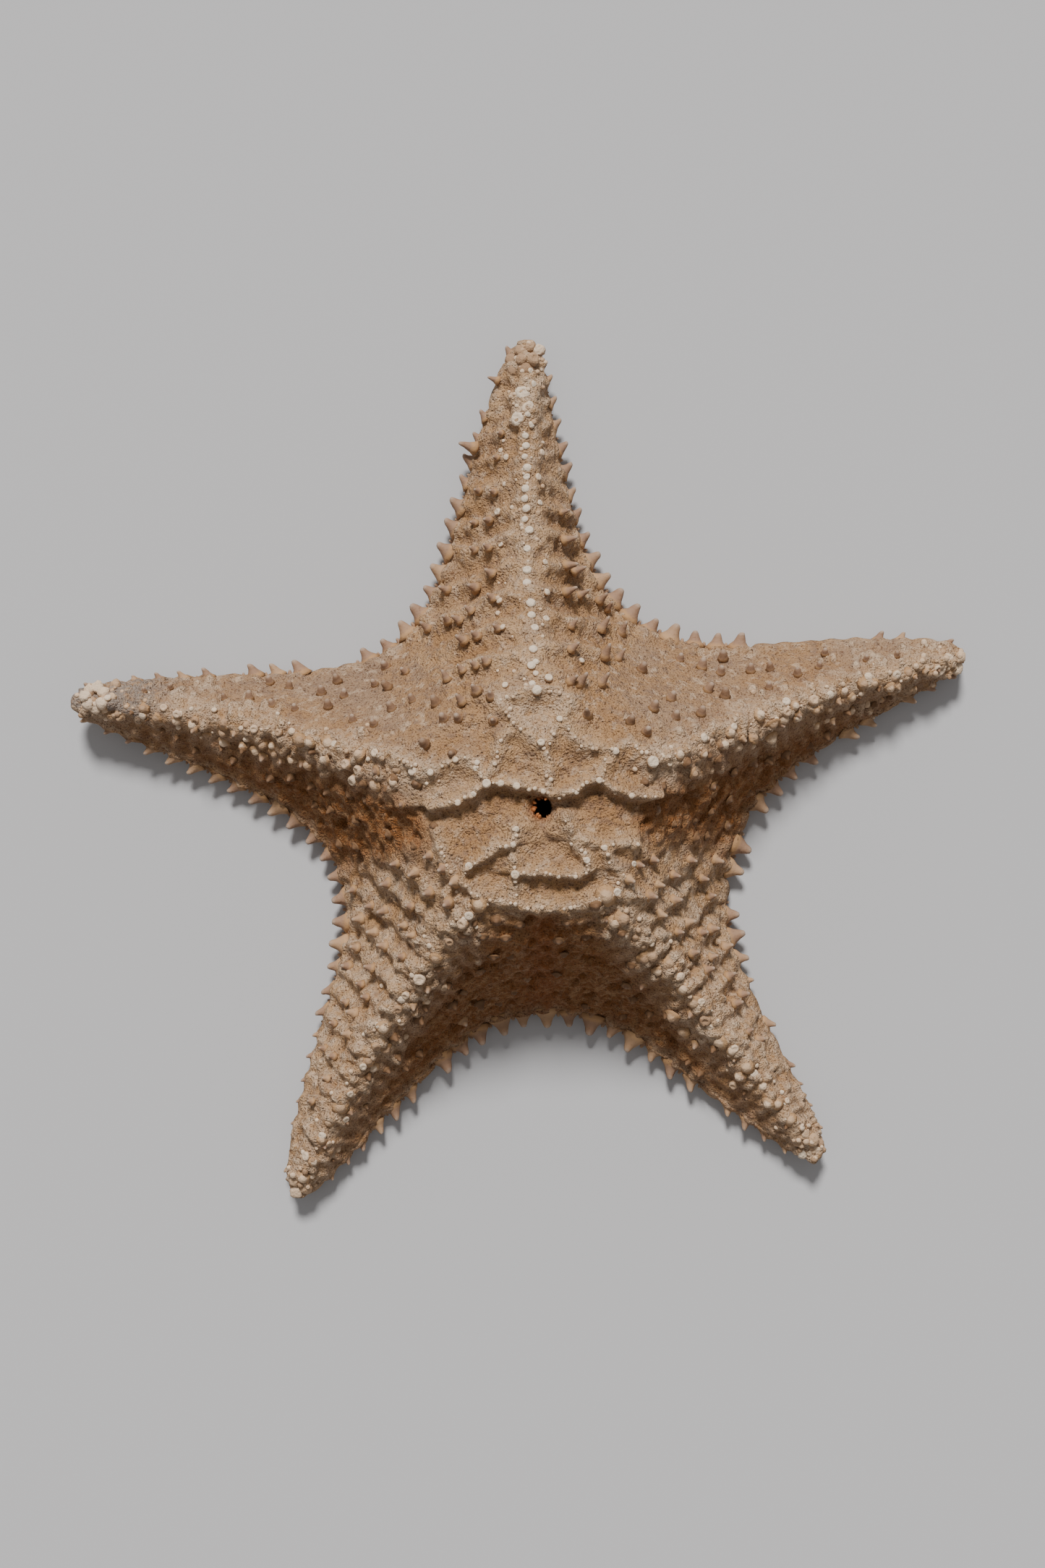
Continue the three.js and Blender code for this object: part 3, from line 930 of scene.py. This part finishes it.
settle(rim_studs.mesh("rim_spines"), "rim_spines", spine_finish)


# ---- Flank cones ---------------------------------------------------------------------
# Short cones on the flanks' plates, of the same skinned chalk as the rim's thorns. They
# stand square to the smooth flanks and crowd along the ribs. On the walls under the
# crests they are low and painted cocoa-dark as the walls' shade, and a few of them are bleached.

BULLET = [(0, 1), (0.42, 0.95), (0.68, 0.78), (0.86, 0.5), (1.0, 0.2), (1.3, -0.05), (0, -0.35)]
HORN = [(0, 1), (0.3, 0.94), (0.5, 0.78), (0.72, 0.5), (1.0, 0.18), (1.6, -0.08), (0, -0.35)]
BLEACHED = (0.4, 0.2, 0.1, 0.05, 0.0)  # the share of such cones in each row of a wall
ABOVE_ALL = 80


def onto_skin(x, y):
    """The place on the finished skin above a plan place, or None over the hole."""
    return skin_tree.ray_cast(Vector((x, y, ABOVE_ALL)), -UP)[0]


def facing_at(x, y):
    """The way the bare back faces at a plan place."""
    step = 0.8
    around_x = np.array([x + step, x - step, x, x])
    around_y = np.array([y, y, y + step, y - step])
    east, west, north, south = back_height(around_x, around_y)
    facing = np.array([(west - east) / (2 * step), (south - north) / (2 * step), 1.0])
    return Vector(facing / np.linalg.norm(facing))


dice = random.Random(37)
cone_studs = Studs(6, 8)
for place in cone_places:
    foot = onto_skin(place["x"], place["y"])
    axis = facing_at(place["x"], place["y"])
    outer = float(ramp(place["along"], 55, 108))
    size = dice.uniform(0.8, 1.15) * (1 - 0.45 * outer)
    tone = dice.random() * 0.5
    if place["kind"] == SMOOTH:
        axis += Vector((0, 0, 0.15))
        wide, tall = 1.05, 2.4
        tone *= -0.5
    elif place["kind"] == RIBBED:
        wide, tall = 0.95, 2.3 + 0.2 * place["row"]
        if place["side"] < 0:
            tall += 0.9
    elif place["kind"] == KNOTTED:
        wide, tall = 1.0, 2.3
        tone = dice.random()
    else:
        wide, tall = 0.9, 0.8 if place["along"] < 46 else 1.6
        bleached = dice.random() < BLEACHED[place["row"]] and place["along"] > 46
        # Painted shade: unbleached wall cones get a low tone, which turns them cocoa-dark like the
        # shaded wall.
        tone = 0.5 + 0.4 * dice.random() if bleached else -0.15 - tone * 1.7
    axis += Vector((dice.gauss(0, 0.1), dice.gauss(0, 0.1), dice.gauss(0, 0.1)))
    shape = BULLET if place["kind"] == SMOOTH else HORN
    cone_studs.add(shape, foot, axis, wide * size, tall * size, tone)
settle(cone_studs.mesh("flank_cones"), "flank_cones", spine_finish)


# ---- Crest buttons -------------------------------------------------------------------
# Flat-topped studs of bare white chalk, many with a worn, ringed top. They sit in one
# row along the top arm's crest, in clusters along the others, and where the hub's
# ridges meet.

RINGED = [
    (0, 0.74), (0.38, 0.76), (0.68, 1.0), (0.96, 0.76), (1.06, 0.3), (1.15, -0.2), (0, -0.6),
]
DOMED = [(0, 1), (0.5, 0.93), (0.83, 0.72), (1.0, 0.38), (1.05, 0.0), (1.0, -0.5), (0, -0.8)]

dice = random.Random(41)
button_studs = Studs(6, 10)


def button(x, y, radius, ringed, tone):
    foot = onto_skin(x, y)
    if foot is None:
        return
    facing = facing_at(x, y)
    radius *= 0.86
    shape = RINGED if ringed else DOMED
    button_studs.add(shape, foot - facing * 0.15, facing, radius, radius * 0.75, tone)


along = 29.0
while along < REACH[TOP] - 8:
    x, y = on_arm(TOP, along, dice.gauss(0.0, 0.35))
    size = dice.uniform(1.0, 1.35) * (1 - 0.15 * ramp(along, 60, 110))
    button(x, y, size, dice.random() < 0.4, 1.0)
    along += dice.uniform(2.2, 3.0) if 62 < along < 96 else dice.uniform(2.8, 5.5)
for rib in range(10):
    along = 31 + RIB_PITCH * rib + dice.gauss(0, 0.6)
    for out in (dice.uniform(5.5, 8.0), dice.uniform(-5.0, -3.2)):
        narrowed = out * (1 - 0.4 * float(ramp(along, 60, 110)))
        x, y = on_arm(TOP, along - RIB_RAKE * abs(out), narrowed)
        if dice.random() < 0.75:
            button(x, y, dice.uniform(0.75, 1.1), dice.random() < 0.6, dice.uniform(0.2, 0.8))
for arm in (RIGHT, LEFT, LOW_LEFT, LOW_RIGHT):
    along = 31.0
    while along < REACH[arm] - 6:
        x, y = on_arm(arm, along, dice.gauss(0, 1.3))
        button(x, y, dice.uniform(0.8, 1.3), dice.random() < 0.6, dice.uniform(0.0, 0.7))
        along += dice.uniform(6.0, 11.0)
HUB_BUTTONS = [  # x, y, radius, ringed
    (-1.3, 27.5, 1.45, False), (-12.7, 6.2, 1.2, True), (25.2, 11.1, 1.55, True),
    (-16.8, -24, 1.2, True), (-16.8, -12.6, 1.0, True), (17, -18.6, 1.15, True),
    (-9.5, 6.2, 0.95, False), (-5.9, 5.6, 1.05, False), (0.2, 4.4, 0.8, False),
    (-6, -4.2, 0.9, False), (-6.7, -7.7, 0.85, False), (-19.3, 1.8, 0.9, False),
    (-15.7, 3.8, 0.8, False), (-19.8, 11.6, 0.85, False), (-25.5, 8.7, 0.9, True),
    (12.9, 6.9, 0.9, False), (14.2, -8.5, 0.9, False), (9.3, 35, 0.9, False),
    (-1.5, 34.2, 0.95, False), (-1.5, 31.5, 0.85, False), (-15.2, 9.6, 0.8, False),
    (-14.9, 10.9, 0.8, False), (-0.3, 15.5, 1.0, True), (3.9, 20.9, 0.85, True),
    (16.7, 13.6, 1.0, False), (10.1, -11.3, 0.9, True), (-6.2, -14.5, 1.15, True),
    (21, -12.3, 0.85, True), (20.3, 3.4, 0.8, False), (7.7, 4.2, 0.7, False),
]
for x, y, radius, ringed in HUB_BUTTONS:
    button(x, y, radius, ringed, dice.uniform(0.5, 0.95))

BONE = (0.60, 0.50, 0.405, 1)

chalk = Finish("bare_chalk")
tip_mark = chalk.mark("tip")
flecks = chalk.mottle(0.7, 3)
bare = chalk.mark("tone")
colour = chalk.coats(
    chalk.mix(bare + 1.0, TAN, CHALK),
    (bare, BONE),
    (chalk.step(bare, -0.4, -1.0) * 0.5, DUSK),
    (chalk.step(0.5 - tip_mark + 0.3 * flecks, 0.1, 0.5) * 0.85, TAN),
    (chalk.step(flecks, 0.6, 0.78) * 0.5, BARK),
)
chalk_finish = chalk.close(
    Base_Color=colour,
    Roughness=0.7 + 0.2 * flecks,
    Normal=chalk.bumped(flecks + 0.6 * chalk.mottle(1.6), 0.45, 0.9),
    Specular_IOR_Level=0.3,
)


# ---- Crest grains --------------------------------------------------------------------
# Small beads of chalk that crust the crests, the hub's ridges, the ribs and the arms'
# ends. They are granules of the plates that show through the worn skin.

BEAD = [(0, 1), (0.75, 0.7), (1.05, 0.1), (0.8, -0.6), (0, -0.9)]

dice = random.Random(53)
grain_studs = Studs(4, 7)


def grain(x, y, radius, tone):
    foot = onto_skin(x, y)
    if foot is not None:
        grain_studs.add(BEAD, foot, UP, radius, radius * 0.85, tone)


for line in RIDGES:
    for (x0, y0), (x1, y1) in zip(line, line[1:]):
        length = math.hypot(x1 - x0, y1 - y0)
        count = max(1, round(length / 1.25))
        for i in range(count):
            share = (i + dice.uniform(0.2, 0.8)) / count
            x = x0 + (x1 - x0) * share + dice.gauss(0, 0.28)
            y = y0 + (y1 - y0) * share + dice.gauss(0, 0.28)
            if dice.random() < 0.55:
                grain(x, y, dice.uniform(0.3, 0.62), dice.uniform(-0.5, 0.55))
for arm in range(5):
    along = 24.0
    while along < REACH[arm] - 3:
        x, y = on_arm(arm, along + dice.uniform(-0.8, 0.8), dice.gauss(1.5 * (arm == TOP), 2.8))
        grain(x, y, dice.uniform(0.3, 0.75), dice.uniform(-0.7, 0.6))
        along += 1.3 if arm == TOP else 3.0
    for _ in range(24):
        x, y = on_arm(arm, REACH[arm] - abs(dice.gauss(0, 7)) - 1.0, dice.gauss(0, 3.4))
        grain(x, y, dice.uniform(0.4, 0.9), dice.uniform(-1.0, 0.1))

# Rounder knobs hang in three rows from the eaves, where four of the crests meet their
# walls: how far out each row is, and each arm's first knob, spacing and odds per row.
KNOB = [(0, 1), (0.42, 0.95), (0.72, 0.76), (0.92, 0.5), (1.2, 0.2), (1.75, -0.05), (0, -0.5)]
EAVE_ROWS = (0.9, 3.6, 6.4)
UPPER_EAVES, LOWER_EAVES = (35, 4.3, (0.9, 0.7, 0.5)), (26, 5.4, (0.95, 0.35, 0.2))
for arm in (RIGHT, LEFT, LOW_LEFT, LOW_RIGHT):
    eaves = UPPER_EAVES if arm in (RIGHT, LEFT) else LOWER_EAVES
    start, pitch, chances = eaves
    for step in range(int((REACH[arm] - start - 3) / pitch * 3)):
        row = step % 3
        along = start + pitch * (step // 3) + dice.gauss(0, 0.7)
        out = EAVE_ROWS[row] * (1 - 0.3 * float(ramp(along, 60, 105))) + dice.gauss(0, 0.5)
        x, y = on_arm(arm, along, WALL_SIDE[arm] * out)
        foot = onto_skin(x, y)
        if foot is not None and dice.random() < chances[row]:
            axis = facing_at(x, y) + Vector((dice.gauss(0, 0.2), dice.gauss(0, 0.2), 0))
            size = dice.uniform(0.75, 1.3) * (1 - 0.25 * float(ramp(along, 60, 110)))
            size *= 1.25 if eaves is LOWER_EAVES and row == 0 else 1
            shape = KNOB if dice.random() < 0.8 else RINGED
            foot = foot - axis.normalized() * 0.35
            tall, tone = size * dice.uniform(0.9, 1.45), dice.uniform(-0.9, 0.1)
            button_studs.add(shape, foot, axis, size, tall, tone)

settle(button_studs.mesh("crest_buttons"), "crest_buttons", chalk_finish)
settle(grain_studs.mesh("crest_grains"), "crest_grains", chalk_finish)


# ---- Arms' ends ----------------------------------------------------------------------
# Each arm ends in a clump of fused plates and knobs, worn bare: ringed discs on the top
# arm, cream plates on the right one, pale lumps round a pit on the left one. Two long
# spurs grow from the top arm's left edge.

SPLIT = [
    (0, -0.1), (0.28, 0.05), (0.62, 0.95), (0.95, 0.85), (1.08, 0.3), (1.0, -0.5), (0, -0.9),
]
PLATE = [(0, 0.8), (0.6, 0.85), (0.92, 0.7), (1.0, 0.45), (1.02, 0.0), (1.0, -0.6), (0, -0.8)]

dice = random.Random(61)
end_studs = Studs(6, 12)
END_PLATES = [  # x, y, radius, height, outline, tone
    (-2.0, 109.6, 1.4, 1.8, RINGED, -0.7), (-3.6, 107.4, 1.7, 1.5, DOMED, -1.0),
    (-0.6, 112.2, 1.4, 1.3, PLATE, 0.3), (-4.6, 101.1, 1.6, 0.9, RINGED, 0.8),
    (-3.2, 97.0, 1.3, 0.9, SPLIT, 0.2), (-5.2, 112.2, 1.5, 1.3, DOMED, -0.8),
    (-7.4, 110.2, 1.5, 1.3, DOMED, -0.9), (1.2, 109.4, 1.2, 1.2, DOMED, -0.7),
    (-6.0, 94.4, 1.5, 0.9, RINGED, 0.7), (-2.6, 113.4, 1.4, 1.2, DOMED, -0.7),
    (-5.0, 109.6, 1.3, 1.2, DOMED, -0.8), (-7.0, 107.2, 1.3, 1.1, DOMED, -0.9),
    (101.8, 34.6, 1.7, 1.3, PLATE, 0.2), (103.2, 32.0, 1.4, 1.2, PLATE, 0.0),
    (100.4, 31.2, 1.5, 1.2, PLATE, -0.1), (99.2, 36.4, 1.5, 1.2, PLATE, 0.2),
    (102.6, 37.2, 1.3, 1.2, DOMED, -0.2), (97.0, 33.6, 1.4, 1.0, RINGED, 0.1),
    (-109.3, 28.9, 1.5, 1.8, DOMED, 0.1), (-107.4, 29.5, 1.5, 1.7, PLATE, 0.3),
    (-105.8, 28.2, 1.4, 1.6, DOMED, 0.0), (-106.0, 25.6, 1.5, 1.6, DOMED, 0.2),
    (-107.9, 24.6, 1.5, 1.7, PLATE, 0.1), (-109.6, 25.6, 1.5, 1.6, DOMED, 0.2),
    (-110.2, 27.3, 1.4, 1.8, PLATE, 0.3), (-103.6, 27.2, 1.0, 1.1, DOMED, -0.4),
    (-103.4, 30.2, 1.1, 1.2, DOMED, -0.6), (64.0, -84.4, 1.3, 1.5, PLATE, 0.7),
    (66.7, -84.0, 1.6, 1.0, PLATE, -0.1), (66.6, -80.6, 1.4, 1.2, DOMED, -0.6),
    (68.2, -82.0, 1.2, 1.1, DOMED, -0.8), (62.8, -81.6, 1.3, 1.1, DOMED, -0.7),
    (64.4, -79.4, 1.2, 1.1, DOMED, -0.6), (-60.0, -94.0, 1.4, 1.3, PLATE, -0.2),
    (-57.6, -93.0, 1.4, 1.2, DOMED, -0.6), (-60.6, -91.0, 1.3, 1.2, DOMED, -0.5),
]
for x, y, radius, height, shape, tone in END_PLATES:
    foot = onto_skin(x, y)
    if foot is not None:
        facing = facing_at(x, y) + UP * 0.6
        foot = foot - facing.normalized() * 0.65
        end_studs.add(shape, foot, facing, radius * 1.08, height, tone)
settle(end_studs.mesh("arm_ends", 0.2), "arm_ends", chalk_finish)

spur_studs = Studs(7, 8)
spur_axis = Vector((-1, 0.3, 0.25))
for x, y, z, size in ((-10.8, 105.1, 6.5, 0.62), (-16.6, 88.5, 7.0, 0.95)):
    spur_studs.add(THORN, Vector((x, y, z)), spur_axis, 1.1 * size, 4.1 * size, 0.3)
settle(spur_studs.mesh("edge_spurs"), "edge_spurs", spine_finish)


# ---- Spines of the grooves and the mouth ---------------------------------------------
# Blunt pegs of pale chalk that fence the five grooves of the mouth side in two rows, and
# larger ones on the five jaws round the mouth. Dried, they all lie down flat.

PEG = [(0, 1), (0.72, 0.9), (0.95, 0.45), (1.0, 0.05), (0, -0.3)]
FENCES = ((0.1, 0.42, 2.2, 1), (1.7, 0.56, 1.9, -0.7))  # out, radius, length, lean inwards

dice = random.Random(71)
peg_studs = Studs(4, 6)
for arm in range(5):
    along = 11.0
    while along < REACH[arm] - 5:
        edge_of_groove = float(groove_half(arm, along))
        middle_line = -float(crest_aside(arm, along))
        centre = Vector((*on_arm(arm, along, middle_line), 0))
        for side in (-1, 1):
            for beyond, wide, tall, lean in FENCES:
                out = middle_line + side * (edge_of_groove + beyond)
                at = on_arm(arm, along + dice.uniform(-0.3, 0.3), out)
                inward = (centre - Vector((*at, 0))).normalized()
                axis = inward * lean - UP * 0.05
                axis += inward.cross(UP * side) * dice.uniform(0.1, 0.6)
                foot = Vector((*at, 0.85 + float(lift_at(arm, along))))
                scale = (1 - 0.45 * along / REACH[arm]) * dice.uniform(0.85, 1.15)
                tone = dice.uniform(-0.2, 0.6)
                peg_studs.add(PEG, foot, axis, wide * scale, tall * scale, tone)
        along += 1.9
    bearing = math.radians(ROOT[arm] + GAP_AFTER[arm] / 2)
    inward = Vector((-math.cos(bearing), -math.sin(bearing), 0))
    aside = Vector((inward.y, -inward.x, 0))
    for i in range(6):
        spot = aside * (i - 2.5) * 0.95 - inward * (8.2 - abs(i - 2.5) * 0.4) + UP
        axis = inward - aside * (i - 2.5) * 0.1 + UP * 0.1
        peg_studs.add(PEG, spot, axis, 0.62, dice.uniform(2.6, 3.4), dice.uniform(0.0, 0.6))
settle(peg_studs.mesh("groove_spines"), "groove_spines", chalk_finish)


# ---- Torn rim of the hole ------------------------------------------------------------
# Shreds of dried skin, orange-brown, left standing round the hole in the middle of the
# hub, where the hide tore as it dried.

SHRED = [(0, 1), (0.35, 0.9), (0.7, 0.6), (1.0, 0.2), (0.9, -0.4), (0, -0.6)]

dice = random.Random(67)
shred_studs = Studs(5, 7)
for i in range(17):
    turn = math.radians(75 + 13.5 * i + dice.uniform(-5, 5))
    radius = HOLE + dice.uniform(-0.1, 0.75)
    foot = onto_skin(HOLE_AT[0] + radius * math.cos(turn), HOLE_AT[1] + radius * math.sin(turn))
    if foot is not None:
        inward = Vector((-math.cos(turn), -math.sin(turn), dice.uniform(0.4, 1.4)))
        wide, tall = dice.uniform(0.32, 0.6), dice.uniform(0.6, 1.1)
        shred_studs.add(SHRED, foot, inward, wide, tall, dice.random())

AMBER = (0.42, 0.17, 0.06, 1)

shred = Finish("torn_skin")
colour = shred.mix(shred.mark("tone"), RUST, AMBER)
colour = shred.mix(shred.step(shred.mottle(0.6), 0.45, 0.7) * 0.7, colour, UMBER)
shred_finish = shred.close(
    Base_Color=colour,
    Roughness=0.6,
    Normal=shred.bumped(shred.mottle(0.4), 0.2, 0.7),
    Specular_IOR_Level=0.3,
)
settle(shred_studs.mesh("torn_rim", 0.2), "torn_rim", shred_finish)


# ---- Surface, light and camera -------------------------------------------------------
# The star lies on a plain pale surface, lit softly from beyond its top arm, and the
# camera looks straight down on it.

SURFACE = (0.43, 0.437, 0.475, 1)
SURFACE_HALF = 3
VIEW_FROM = (-4.55, 6.07, 540.7)


floor_form = bmesh.new()
bmesh.ops.create_grid(floor_form, x_segments=8, y_segments=8, size=SURFACE_HALF)
floor = place_in_scene("floor", form_to_mesh(floor_form, "floor"))
floor.data.materials.append(Finish("pale_surface").close(Base_Color=SURFACE, Roughness=0.9))

sun = bpy.data.lights.new("window", "SUN")
sun.energy = 5.15
sun.angle = math.radians(13)
sun.color = (1.0, 0.965, 0.89)
window = place_in_scene("window", sun)
window.rotation_euler = (math.radians(-42), math.radians(-6), 0)

room = bpy.data.worlds.new("room")
room.use_nodes = True
room_light = room.node_tree.nodes["Background"]
room_light.inputs["Color"].default_value = (1.0, 0.965, 0.9, 1)
room_light.inputs["Strength"].default_value = 0.37
bpy.context.scene.world = room

lens = bpy.data.cameras.new("camera")
lens.lens = 50
lens.sensor_width = 36
camera = place_in_scene("camera", lens)
camera.location = (DISC + Vector(VIEW_FROM)) * MM
bpy.context.scene.camera = camera
